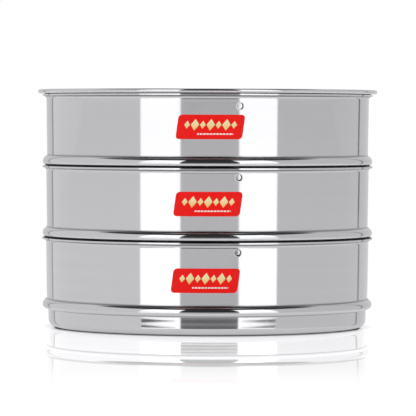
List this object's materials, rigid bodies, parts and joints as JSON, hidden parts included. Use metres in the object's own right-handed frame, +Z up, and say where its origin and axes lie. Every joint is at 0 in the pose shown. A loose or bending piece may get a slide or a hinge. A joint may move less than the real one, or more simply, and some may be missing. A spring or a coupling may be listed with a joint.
{
  "type": "pressure cooker separator",
  "caption": "Stack of round drawn-steel pans that nest by beaded skirts in flared lips, with lifting holes and plain labels, under a recessed lid with a rolled edge.",
  "frame": {"origin": "centre of the bottom container's underside, on the stack's axis", "axes": "+Z up along the stack, -Y towards the front with the labels, +X to the right seen from the front"},
  "size_m": [0.1848, 0.1848, 0.1289],
  "materials": {
    "polished_steel": "mirror-polished outside, satin spun inside, drawn stainless sheet",
    "label": "printed red film with a row of cream lozenges over a fine white rule"
  },
  "bodies": {
    "bottom": {"bottom_container": "polished_steel", "bottom_label": "label"},
    "middle": {"middle_container": "polished_steel", "middle_label": "label"},
    "top": {"top_container": "polished_steel", "top_label": "label"},
    "cover": {"lid": "polished_steel"}
  },
  "joints": [
    {"name": "middle_lift", "type": "slide", "parent": "bottom", "child": "middle", "axis": [0, 0, 1], "range_m": [0, 0.06]},
    {"name": "top_lift", "type": "slide", "parent": "middle", "child": "top", "axis": [0, 0, 1], "range_m": [0, 0.06]},
    {"name": "lid_lift", "type": "slide", "parent": "top", "child": "cover", "axis": [0, 0, 1], "range_m": [0, 0.06]}
  ]
}
